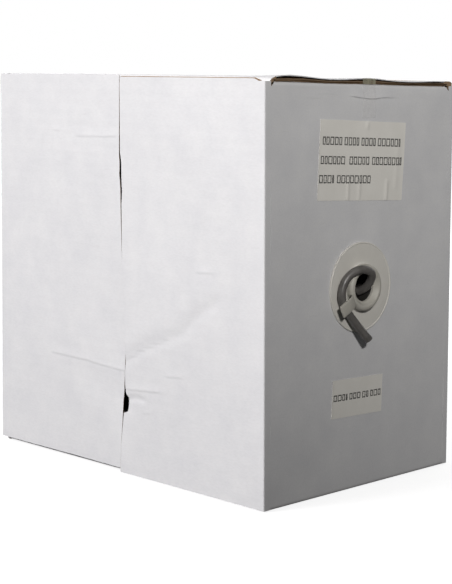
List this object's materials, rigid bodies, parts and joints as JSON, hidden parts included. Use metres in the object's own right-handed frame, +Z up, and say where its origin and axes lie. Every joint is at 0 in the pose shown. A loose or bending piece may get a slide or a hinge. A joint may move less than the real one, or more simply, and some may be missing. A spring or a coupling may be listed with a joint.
{
  "type": "cable spool box",
  "caption": "Square white corrugated carton that holds a shaftless coil of network cable and pays it out through a flanged plastic horn with a hook for the free end.",
  "frame": {"origin": "centre of the base, on the surface that the carton stands on", "axes": "+Z up, the port panel faces -Y, the flapped sides face -X and +X"},
  "size_m": [0.205, 0.3154, 0.3],
  "materials": {
    "board": "matte white liner outside, kraft inside",
    "label_paper": "semi-matte paper",
    "clear_tape": "clear glossy film",
    "horn_plastic": "satin moulded polyethylene",
    "tube_plastic": "satin extruded plastic",
    "cable_jacket": "satin PVC jacket",
    "coil_tape": "glossy film tape",
    "conductor_insulation": "polyethylene insulation in pair colours",
    "copper": "bright cut copper",
    "filler_plastic": "matte polyethylene"
  },
  "bodies": {
    "carton": {"front_panel": "board", "bottom_panel": "board", "rear_panel": "board", "top_panel": "board", "glue_tab": "board", "contents_label": "label_paper", "code_label": "label_paper", "seal_tape": "clear_tape", "outlet_horn": "horn_plastic", "payout_tube": "tube_plastic", "cable_coil": "cable_jacket", "coil_tie_front_top": "coil_tape", "coil_tie_front_bottom": "coil_tape", "coil_tie_rear_bottom": "coil_tape", "coil_tie_rear_top": "coil_tape", "cable_run": "cable_jacket", "cable_lead": "cable_jacket", "lead_conductors": "conductor_insulation", "lead_copper": "copper", "lead_filler": "filler_plastic"},
    "left_front_flap": {"left_front_flap": "board"},
    "left_rear_flap": {"left_rear_flap": "board"},
    "right_front_flap": {"right_front_flap": "board"},
    "right_rear_flap": {"right_rear_flap": "board"},
    "left_bottom_inner_flap": {"left_bottom_inner_flap": "board"},
    "left_top_inner_flap": {"left_top_inner_flap": "board"},
    "right_bottom_inner_flap": {"right_bottom_inner_flap": "board"},
    "right_top_inner_flap": {"right_top_inner_flap": "board"}
  },
  "joints": [
    {"name": "left_front_flap_hinge", "type": "hinge", "parent": "carton", "child": "left_front_flap", "pos_m": [-0.1025, -0.15, 0], "axis": [0, 0, 1], "range_deg": [0, 180]},
    {"name": "left_rear_flap_hinge", "type": "hinge", "parent": "carton", "child": "left_rear_flap", "pos_m": [-0.1025, 0.15, 0], "axis": [0, 0, -1], "range_deg": [0, 180]},
    {"name": "right_front_flap_hinge", "type": "hinge", "parent": "carton", "child": "right_front_flap", "pos_m": [0.1025, -0.15, 0], "axis": [0, 0, -1], "range_deg": [0, 180]},
    {"name": "right_rear_flap_hinge", "type": "hinge", "parent": "carton", "child": "right_rear_flap", "pos_m": [0.1025, 0.15, 0], "axis": [0, 0, 1], "range_deg": [0, 180]},
    {"name": "left_bottom_inner_flap_hinge", "type": "hinge", "parent": "carton", "child": "left_bottom_inner_flap", "pos_m": [-0.095, 0, 0.0036], "axis": [0, 1, 0], "range_deg": [0, 6]},
    {"name": "left_top_inner_flap_hinge", "type": "hinge", "parent": "carton", "child": "left_top_inner_flap", "pos_m": [-0.095, 0, 0.2964], "axis": [0, -1, 0], "range_deg": [0, 6]},
    {"name": "right_bottom_inner_flap_hinge", "type": "hinge", "parent": "carton", "child": "right_bottom_inner_flap", "pos_m": [0.095, 0, 0.0036], "axis": [0, -1, 0], "range_deg": [0, 6]},
    {"name": "right_top_inner_flap_hinge", "type": "hinge", "parent": "carton", "child": "right_top_inner_flap", "pos_m": [0.095, 0, 0.2964], "axis": [0, 1, 0], "range_deg": [0, 6]}
  ]
}
